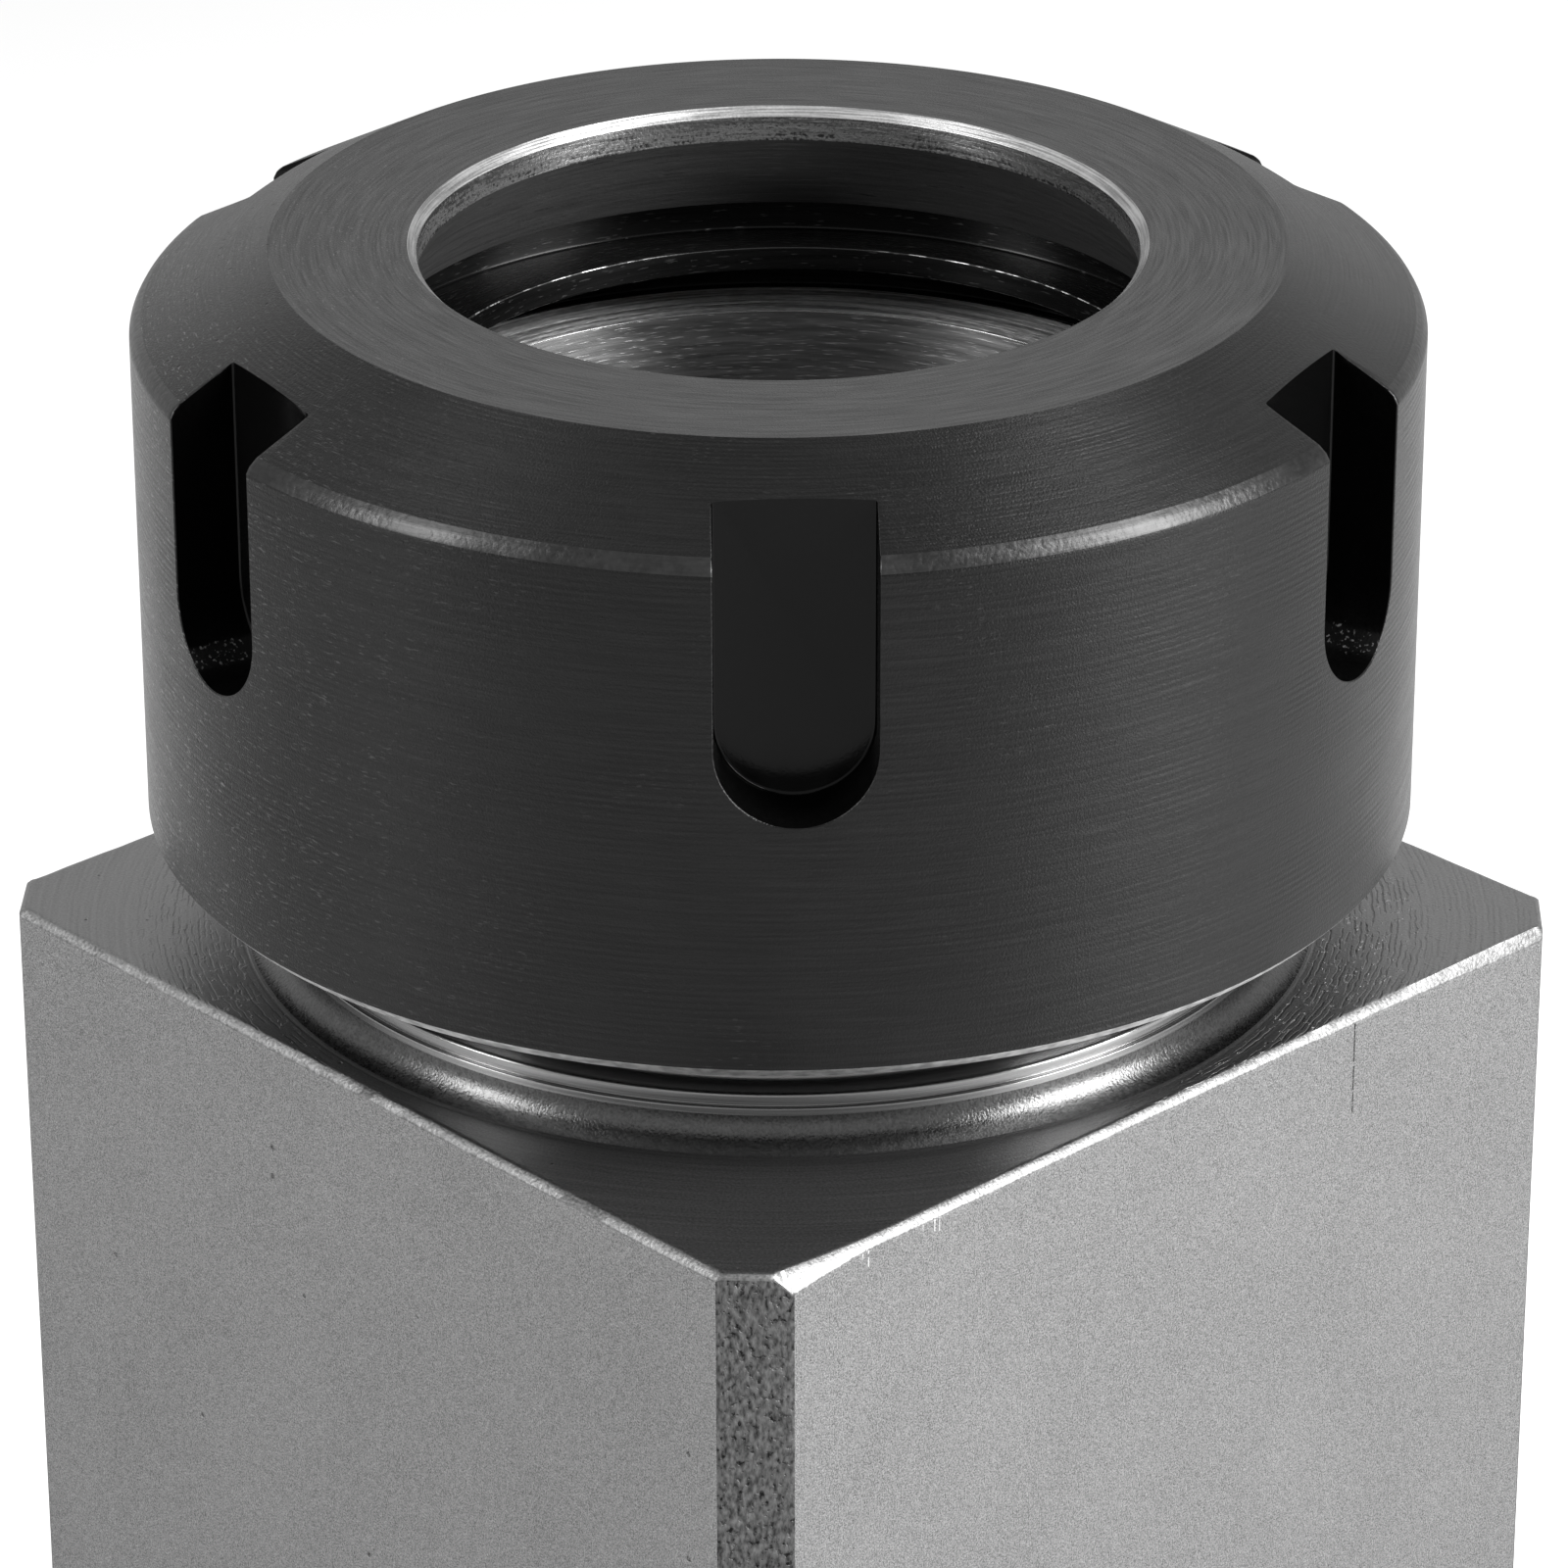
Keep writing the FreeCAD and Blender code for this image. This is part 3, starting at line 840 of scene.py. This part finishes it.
class Finish(Graph):
    """A steel surface. Places and sizes are in millimetres."""

    def __init__(self, name):
        self.material = bpy.data.materials.new(name)
        self.material.use_nodes = True
        super().__init__(self.material.node_tree)
        self.tree.nodes.clear()
        coordinates = self.add("ShaderNodeTexCoord", output="Object")
        scaled = {0: coordinates, "Scale": 1 / MM}
        self.place = self.add("ShaderNodeVectorMath", scaled, operation="SCALE")
        split = self.add("ShaderNodeSeparateXYZ", {0: self.place})
        self.x, self.y, self.z = split, self.sibling(split, 1), self.sibling(split, 2)
        self.radius = (self.x * self.x + self.y * self.y) ** 0.5

    def vector(self, x, y, z):
        return self.add("ShaderNodeCombineXYZ", {0: x, 1: y, 2: z})

    def noise(self, size, detail=2.0, place=None):
        """Clouds of about the given size, from 0 to 1 and mostly near 0.5."""
        sockets = {"Vector": place or self.place, "Scale": 1.0 / size, "Detail": detail}
        return self.add("ShaderNodeTexNoise", sockets, output="Fac")

    def rings(self, pitch, run, detail=2.0, lean=-1.0):
        """Fine marks round the axis. At RUN_RADIUS, each runs on for run millimetres before it changes.

        lean is 1 on a bevel that rises outwards, and -1 elsewhere.
        """
        share = RUN_RADIUS / run / self.radius.most(1.0)
        along = (self.radius + self.z * lean) / pitch
        return self.noise(1.0, detail, self.vector(self.x * share, self.y * share, along))

    def beside_slot(self, low, high):
        """Rises from 0 to 1 with the distance to either side of the slot at the front."""
        return (self.x * math.sin(NUT_TURN) - self.y * math.cos(NUT_TURN)).size().ramp(low, high)

    def spots(self, spacing, size, share):
        """Small round spots, 1 inside and 0 outside, in a random share of the places for them."""
        cells = self.add("ShaderNodeTexVoronoi", {"Vector": self.place, "Scale": 1.0 / spacing})
        chance = self.add("ShaderNodeSeparateColor", {0: self.sibling(cells, 1)})
        edge = size / spacing
        return cells.ramp(edge * 0.5, edge, 1.0, 0.0) * chance.below(share)

    def grey(self, level):
        """A neutral colour from a level."""
        return self.add("ShaderNodeCombineColor", {0: level, 1: level, 2: level})

    def surface(self, level, roughness, relief, metallic=1.0, specular=0.5, across=0.0):
        """The steel itself. relief is a height in millimetres.

        across is how far fine turning marks draw the gloss out across themselves.
        """
        sockets = {
            "Base Color": self.grey(level),
            "Roughness": roughness,
            "Metallic": metallic,
            "Specular IOR Level": specular,
            "Anisotropic": across,
            "Anisotropic Rotation": 0.25 if across else 0.0,
            "Normal": self.add("ShaderNodeBump", {"Height": relief, "Distance": MM, "Strength": 1.0}),
        }
        return self.shown(self.add("ShaderNodeBsdfPrincipled", sockets))

    def shown(self, shader):
        self.add("ShaderNodeOutputMaterial", {"Surface": shader})
        return self.material


def black_oxide(name, across, feed_depth, dullness, contrast_and_painted_lift, specular):
    """The nut's outside: turned in fine lines, blackened and a little rubbed, with a few pits."""
    finish = Finish(name)
    marks = finish.rings(0.1, 3.0)
    grain = finish.noise(0.08, 1.0)
    patches = finish.noise(5.0, 3.0)
    worn_side = finish.x * math.cos(WORN_SIDE) + finish.y * math.sin(WORN_SIDE)
    wear = worn_side.ramp(8.0, 25.0)
    feed = ((finish.radius - finish.z) * (2 * math.pi / FEED)).sine() * 0.5 + 0.5
    lines = feed * patches.ramp(0.4, 0.6) * feed_depth
    bareness = wear * 0.25 + worn_side.ramp(19.0, 25.0) * 0.5 + patches.ramp(0.45, 0.75) * 0.08
    rubbed = finish.rings(0.08, 0.3, 1.0).ramp(0.6, 0.8) * bareness
    pits = finish.spots(0.5, 0.09, 0.3) * wear
    # The factor on the marks also lifts the whole level: at 5.5 it paints the nut's end face lighter, as
    # painted light
    level = (marks * 0.01 + grain * 0.006) * contrast_and_painted_lift - lines * 0.002 + rubbed * 0.2 - 0.006
    roughness = grain * 0.2 + marks * 0.2 + patches * 0.06 + dullness
    relief = marks * 0.012 + grain * 0.018 - lines * 0.008 - pits * 0.03
    return finish.surface(level.most(0.0005), roughness, relief, rubbed, specular, across=across)


def rounded_rim():
    """The nut's rounded rim: black that has worn thin."""
    finish = Finish("rounded_rim")
    marks = finish.rings(0.1, 2.0, 3.0)
    grain = finish.noise(0.25, 3.0)
    patches = finish.noise(3.0).ramp(0.35, 0.65, 0.8, 1.1)
    level = (marks * 0.018 + grain * 0.034 + 0.016) * patches
    return finish.surface(level, grain * 0.25 + 0.28, marks * 0.008 + grain * 0.02, across=0.85)


def lip_edge_painted_highlights():
    """The edges of the draw-out lip: bright patches, partly where a collet has touched them and partly a
    painted highlight, kept to the lip's sides away from the front slot.
    """
    finish = Finish("nicked_edges")
    # Partly collet wear, partly a painted highlight: lighter metal only on the lip's sides, away from the
    # front slot
    touched_and_painted_highlight = finish.noise(0.7, 4.0).ramp(0.45, 0.58) * finish.beside_slot(3.0, 8.0)
    grain = finish.noise(0.15)
    return finish.surface(touched_and_painted_highlight * 0.5 + 0.005, grain * 0.2 + 0.3, grain * 0.02, touched_and_painted_highlight, specular=0.3)


def oxide_inside():
    """Behind the nut's opening: blackened, and bare of marks that catch light."""
    finish = Finish("black_oxide_inside")
    marks = finish.rings(0.22, 7.0, 3.0)
    specks = finish.rings(0.08, 0.8, 1.0).ramp(0.66, 0.75)
    level = marks * 0.004 + specks * 0.1 + 0.001
    return finish.surface(level, marks * 0.15 + 0.2, marks * 0.008, specks, specular=0.2, across=0.8)


def seat_steel():
    """The collet's seat: blackened and rubbed smooth in streaks."""
    finish = Finish("rubbed_seat")
    marks = finish.rings(0.25, 5.0, 3.0)
    grain = finish.noise(0.12)
    streaks = finish.rings(0.08, 2.5, 1.0).ramp(0.64, 0.72)
    level = marks * 0.03 + grain * 0.015 + streaks * 0.12 + 0.012
    relief = marks * 0.01 + grain * 0.005
    return finish.surface(level, marks * 0.15 + 0.27, relief, streaks, specular=0.25)


def slot_steel():
    """The slots: milled and blackened, smoother than the turned skin.

    The round ends of those at the sides have a few nicks, lightened partly as painted glints.
    """
    finish = Finish("black_oxide_slots")
    grain = finish.noise(0.12)
    sweep = finish.noise(1.6)
    height = (finish.z - NICK_AND_PAINTED_GLINT_HEIGHT).size().ramp(0.2, 0.9, 1.0, 0.0)
    wall = (finish.radius - (NUT_RADIUS - SLOT_DEPTH) / MM).ramp(0.4, 0.7)
    streaks = finish.noise(0.16, 3.0, finish.vector(finish.x, finish.y, finish.z * 0.15))
    # Partly nicks, partly painted glints: lighter metal streaks only in the side slots' round ends
    nicks = (streaks * height * wall * finish.beside_slot(8.0, 14.0)).ramp(0.58, 0.7)
    level = grain * 0.002 + nicks * 0.1
    roughness = grain * 0.05 + sweep * 0.06 + 0.09
    return finish.surface(level, roughness, grain * 0.003, nicks * 0.4, specular=0.11)


def rubbed_edge():
    """Edges where the black has thinned."""
    finish = Finish("rubbed_edges")
    wander = finish.noise(0.5, 3.0)
    level = wander.ramp(0.3, 0.7, 0.25, 0.5)
    return finish.surface(level, 0.4, wander * 0.004, across=0.7)


def bared_edge():
    """The opening's bevel, rubbed back to bright steel."""
    finish = Finish("bared_edge")
    marks = finish.rings(0.1, 4.0, 3.0, 1.0)
    grain = finish.noise(0.1)
    blotches = finish.noise(1.5, 3.0)
    level = marks.ramp(0.35, 0.65, 0.0, 0.2) + grain * 0.1 + blotches * 0.2 + 0.04
    return finish.surface(level, grain * 0.15 + 0.3, marks * 0.01 + grain * 0.004)


def worn_land():
    """The straight part of the opening: black that has worn through in patches."""
    finish = Finish("worn_land")
    marks = finish.rings(0.15, 3.0, 4.0)
    grain = finish.noise(0.14, 3.0)
    foot = (NUT_FRONT - MOUTH_BREAK - MOUTH_LAND) / MM
    height = (finish.z - foot) / (MOUTH_LAND / MM)
    bare = (marks * 0.8 + grain * 0.8 + height * 0.25).ramp(0.65, 1.05)
    level = bare * 0.22 + 0.01
    relief = marks * 0.03 + grain * 0.02
    return finish.surface(level, marks * 0.15 + 0.2, relief, bare * 0.95, specular=0.3, across=0.85)


def blasted_steel():
    """The block's sides: an even, fine, blasted grain."""
    finish = Finish("blasted_steel")
    grain = finish.noise(0.065, 1.0)
    coarse = finish.noise(0.2)
    patches = finish.noise(7.0, 3.0)
    dents = finish.spots(1.7, 0.16, 0.15)
    burrs = scratches(finish)
    level = grain * 0.46 + coarse * 0.1 + patches * 0.04 - 0.105 - dents * 0.1 + burrs
    relief = grain * 0.02 + coarse * 0.012 - dents * 0.03
    return finish.surface(level.most(0.02), grain * 0.1 + 0.46, relief)


def scratches(finish):
    """Changes of level on the right side: bright burrs under its top edge and a faint dark dashed line."""
    total = None
    for across, top, length, width, change in SCRATCHES:
        beside = (finish.y - across).size().ramp(width * 0.5, width, change, 0.0)
        inside = (finish.z - top + length / 2).size().ramp(length / 2 - 0.05, length / 2, 1.0, 0.0)
        stroke = beside * inside
        total = stroke if total is None else total + stroke
    dashes = finish.noise(0.3, 1.0).ramp(0.4, 0.5)
    right_side = finish.x.above(HALF_SIDE / MM - 0.1)
    return total * dashes * right_side


def rough_flat():
    """The upright corners: left rough, pitted and darker."""
    finish = Finish("rough_flats")
    streaks = finish.noise(0.16, 4.0, finish.vector(finish.x, finish.y, finish.z * 0.5))
    pits = finish.noise(0.25, 3.0).ramp(0.33, 0.45, 1.0, 0.0)
    level = streaks * 0.3 - 0.065 - pits * 0.05
    return finish.surface(level.most(0.01), streaks * 0.2 + 0.4, streaks * 0.045 - pits * 0.03)


def broken_edge():
    """The narrow bevels round the block's ends, filed by hand."""
    finish = Finish("broken_edges")
    nicks = finish.noise(0.14, 4.0)
    wander = finish.noise(0.9)
    level = nicks * 0.25 + wander * 0.1 - 0.02
    return finish.surface(level, nicks * 0.2 + 0.33, nicks * 0.02 + wander * 0.02)


def faced_steel():
    """The block's top: faced in rings, torn and chattered outside the nose, smoother at the corners."""
    finish = Finish("faced_steel")
    fine = finish.rings(0.15, 14.0, 3.0)
    grain = finish.noise(0.1)
    begun = finish.radius.ramp(CHATTER_RADIUS - 0.1, CHATTER_RADIUS + 0.3)
    band = begun * finish.radius.ramp(24.0, 26.5, 1.0, 0.25)
    across = finish.x * math.cos(TORN_SIDE) + finish.y * math.sin(TORN_SIDE)
    sides = across.ramp(11.0, 19.0) + across.ramp(-20.0, -12.0, 0.5, 0.0)
    wobble = finish.noise(0.7, 1.0) * 0.25
    cuts = ((finish.radius + wobble) * (2 * math.pi / CHATTER_PITCH)).sine().ramp(0.0, 0.8)
    broken = finish.rings(0.3, 1.4).ramp(0.44, 0.54)
    torn = cuts * broken * band * sides
    scraps = finish.noise(0.3, 3.0).ramp(0.62, 0.68) * band * sides
    pits = finish.spots(0.9, 0.09, 0.25)
    seam = (finish.radius - CHATTER_RADIUS).size().ramp(0.02, 0.09, 1.0, 0.0)
    level = fine * 0.1 + grain * 0.14 - torn * 0.06 + 0.03 + seam * 0.02 - pits * 0.1
    relief = fine * 0.004 + grain * 0.008 - torn * 0.02 + scraps * 0.03 - seam * 0.01 - pits * 0.03
    return finish.surface(level.most(0.01), grain * 0.15 + fine * 0.1 + 0.24, relief, metallic=0.95)


def milled_steel():
    """The block's underside."""
    finish = Finish("milled_steel")
    strokes = finish.noise(0.3, 3.0, finish.vector(finish.x * 0.05, finish.y, finish.z))
    return finish.surface(strokes * 0.2 + 0.2, strokes * 0.15 + 0.3, strokes * 0.01)


def cove_steel():
    """The cove at the nose's foot: a satin surface with bright grains, its foot painted lighter at the
    front.
    """
    finish = Finish("cove_steel")
    grain = finish.noise(0.1)
    coarse = finish.noise(0.25)
    front_painted_light_and_dullness = 1.0 - finish.beside_slot(6.0, 16.0)
    # Painted light: at the front, the cove's foot is painted lighter, and made rougher, to fill its dark
    # band
    foot = (finish.z - BLOCK_TOP / MM).ramp(0.0, 0.4, 1.0, 0.0) * front_painted_light_and_dullness
    level = grain * 0.09 + coarse * 0.04 + foot * 0.06 + 0.01
    relief = grain * 0.013 + coarse * 0.004
    return finish.surface(level, grain * 0.12 + coarse * 0.1 + foot * 0.2 + 0.17, relief, across=0.7)


def ground_steel():
    """The collar and the step above it: nearly polished."""
    finish = Finish("ground_steel")
    marks = finish.rings(0.09, 8.0)
    return finish.surface(marks * 0.2 + 0.12, marks * 0.1 + 0.2, marks * 0.004, across=0.85)


def turned_steel():
    """The relief and the thread of the nose."""
    finish = Finish("turned_steel")
    marks = finish.rings(0.12, 8.0, 3.0)
    return finish.surface(marks * 0.2 + 0.1, marks * 0.1 + 0.2, marks * 0.003, across=0.85)


def nose_face():
    """The nose's end face: turned in clear rings, with torn specks."""
    finish = Finish("nose_face")
    rings = finish.rings(0.3, 16.0, 3.0)
    torn = finish.rings(0.1, 0.6, 3.0)
    level = rings.ramp(0.38, 0.62, 0.25, 0.8) + torn.ramp(0.45, 0.65, 0.0, 0.2)
    return finish.surface(level, torn * 0.15 + 0.35, rings * 0.14 + torn * 0.06, across=0.7)


def socket_steel():
    """The socket and the bore: turned, with short bright tears along the cut."""
    finish = Finish("socket_steel")
    marks = finish.rings(0.2, 5.0, 3.0)
    tears = finish.rings(0.045, 1.0, 1.0).ramp(0.6, 0.76)
    level = marks * 0.2 + tears * 0.15 + 0.05
    return finish.surface(level, marks * 0.1 + 0.3, marks * 0.015 + tears * 0.004, across=0.8)


# The object

finishes = {
    "oxide": black_oxide(
        "black_oxide", across=0.8, feed_depth=1.0, dullness=0.13, contrast_and_painted_lift=1.0, specular=0.2
    ),
    # The nut's end face: duller and less glossy than the skin, and painted lighter, a painted light
    "oxide_face": black_oxide(
        "black_oxide_face", across=0.0, feed_depth=0.0, dullness=0.25, contrast_and_painted_lift=5.5, specular=0.05
    ),
    "rim": rounded_rim(),
    "nicked": lip_edge_painted_highlights(),
    "oxide_inside": oxide_inside(),
    "seat": seat_steel(),
    "slot": slot_steel(),
    "rubbed": rubbed_edge(),
    "bared": bared_edge(),
    "land": worn_land(),
    "blasted": blasted_steel(),
    "flat": rough_flat(),
    "broken": broken_edge(),
    "faced": faced_steel(),
    "milled": milled_steel(),
    "cove": cove_steel(),
    "ground": ground_steel(),
    "turned": turned_steel(),
    "nose_face": nose_face(),
    "socket": socket_steel(),
}
turning = turning_tree()

block_mesh = make_block(turning, finishes)
paint(block_mesh, finishes, block_finish)
finish_piece("finished_block", block_mesh, "block", "collet_block")

nut_mesh = make_nut(turning, slotting_tree(), finishes)
paint(nut_mesh, finishes, nut_finish)
finish_piece("finished_nut", nut_mesh, "nut", "clamping_nut")


# Camera. The photograph's frame is square.

SENSOR = 36.0
FRAME_PIXELS = 1600
FOCAL_PIXELS = 7827.0
VIEW_DISTANCE = 304.8 * MM
VIEW_ELEVATION = math.radians(25.74)
VIEW_AZIMUTH = math.radians(-43.22)
VIEW_HEIGHT = BLOCK_TOP + 5.26 * MM
VIEW_ASIDE = math.radians(0.033)
VIEW_ROLL = math.radians(-0.136)
NEAREST = 0.01
FURTHEST = 20.0


def make_camera():
    data = bpy.data.cameras.new("camera")
    data.sensor_width = SENSOR
    data.sensor_fit = "HORIZONTAL"
    data.lens = SENSOR * FOCAL_PIXELS / FRAME_PIXELS
    data.clip_start = NEAREST
    data.clip_end = FURTHEST
    camera = in_scene("camera", data)
    flat = Vector((math.cos(VIEW_AZIMUTH), math.sin(VIEW_AZIMUTH), 0.0))
    back = flat * math.cos(VIEW_ELEVATION) + Vector((0, 0, math.sin(VIEW_ELEVATION)))
    right = Vector((0, 0, 1)).cross(flat).normalized()
    back = (back * math.cos(VIEW_ASIDE) - right * math.sin(VIEW_ASIDE)).normalized()
    up = back.cross(right).normalized()
    right = up.cross(back).normalized()
    turned_right = right * math.cos(VIEW_ROLL) + up * math.sin(VIEW_ROLL)
    turned_up = up * math.cos(VIEW_ROLL) - right * math.sin(VIEW_ROLL)
    place = flat * VIEW_DISTANCE * math.cos(VIEW_ELEVATION)
    place.z = VIEW_HEIGHT + VIEW_DISTANCE * math.sin(VIEW_ELEVATION)
    turn = Matrix((turned_right, turned_up, back)).transposed()
    camera.matrix_world = Matrix.Translation(place) @ turn.to_4x4()
    bpy.context.scene.camera = camera


make_camera()


# Studio

FLOOR_REACH = 3.0
WHITE = (1.0, 1.0, 1.0, 1.0)


def seen(graph):
    """1 in direct views, in reflections and through glass, and 0 for the light that falls on others."""
    direct = graph.add("ShaderNodeLightPath", output="Is Camera Ray")
    mirrored = graph.sibling(direct, "Is Glossy Ray")
    return direct.most(mirrored).most(graph.sibling(direct, "Is Transmission Ray"))


def lit_surface(name, level, show):
    """A pale surface that keeps its shadows, with a share of plain white where it is seen."""
    finish = Finish(name)
    share = seen(finish) * show
    matt = finish.add("ShaderNodeBsdfDiffuse", {"Color": (level, level, level, 1.0)})
    white = finish.add("ShaderNodeEmission", {"Color": WHITE, "Strength": 1.0})
    return finish.shown(finish.add("ShaderNodeMixShader", {0: share, 1: matt, 2: white}))


def make_floor():
    mesh = bpy.data.meshes.new("floor")
    corners = [(x * FLOOR_REACH, y * FLOOR_REACH, 0) for x, y in ((-1, -1), (1, -1), (1, 1), (-1, 1))]
    mesh.from_pydata(corners, [], [(0, 1, 2, 3)])
    mesh.materials.append(lit_surface("pale_floor", level=0.85, show=0.35))
    floor = in_scene("floor", mesh)


def view_direction(azimuth, elevation):
    """A direction from the object. Azimuth 0 points to the camera and grows to the camera's right."""
    a = VIEW_AZIMUTH + math.radians(azimuth)
    e = math.radians(elevation)
    return Vector((math.cos(a) * math.cos(e), math.sin(a) * math.cos(e), math.sin(e)))


def softbox(name, azimuth, elevation, distance, width, height, power):
    """A square-cornered lamp that faces the block's top. Metres and watts."""
    data = bpy.data.lights.new(name, "AREA")
    data.shape = "RECTANGLE"
    data.size, data.size_y = width, height
    data.energy = power
    light = in_scene(name, data)
    centre = Vector((0, 0, BLOCK_TOP))
    place = centre + view_direction(azimuth, elevation) * distance
    light.location = place
    light.rotation_euler = (centre - place).to_track_quat("-Z", "Y").to_euler()


def make_world(fill):
    """White where it is seen, and a weaker light on the object."""
    world = bpy.data.worlds.new("studio")
    world.use_nodes = True
    bpy.context.scene.world = world
    graph = Graph(world.node_tree)
    graph.tree.nodes.clear()
    strength = seen(graph) * (1.0 - fill) + fill
    light = graph.add("ShaderNodeBackground", {"Color": WHITE, "Strength": strength})
    graph.add("ShaderNodeOutputWorld", {"Surface": light})


make_floor()
make_world(fill=0.3)
softbox("right_softbox", azimuth=68, elevation=32, distance=0.5, width=0.2, height=0.4, power=7.2)
softbox("left_softbox", azimuth=-68, elevation=34, distance=0.5, width=0.12, height=0.32, power=2.2)
bpy.context.scene.view_settings.view_transform = "Standard"
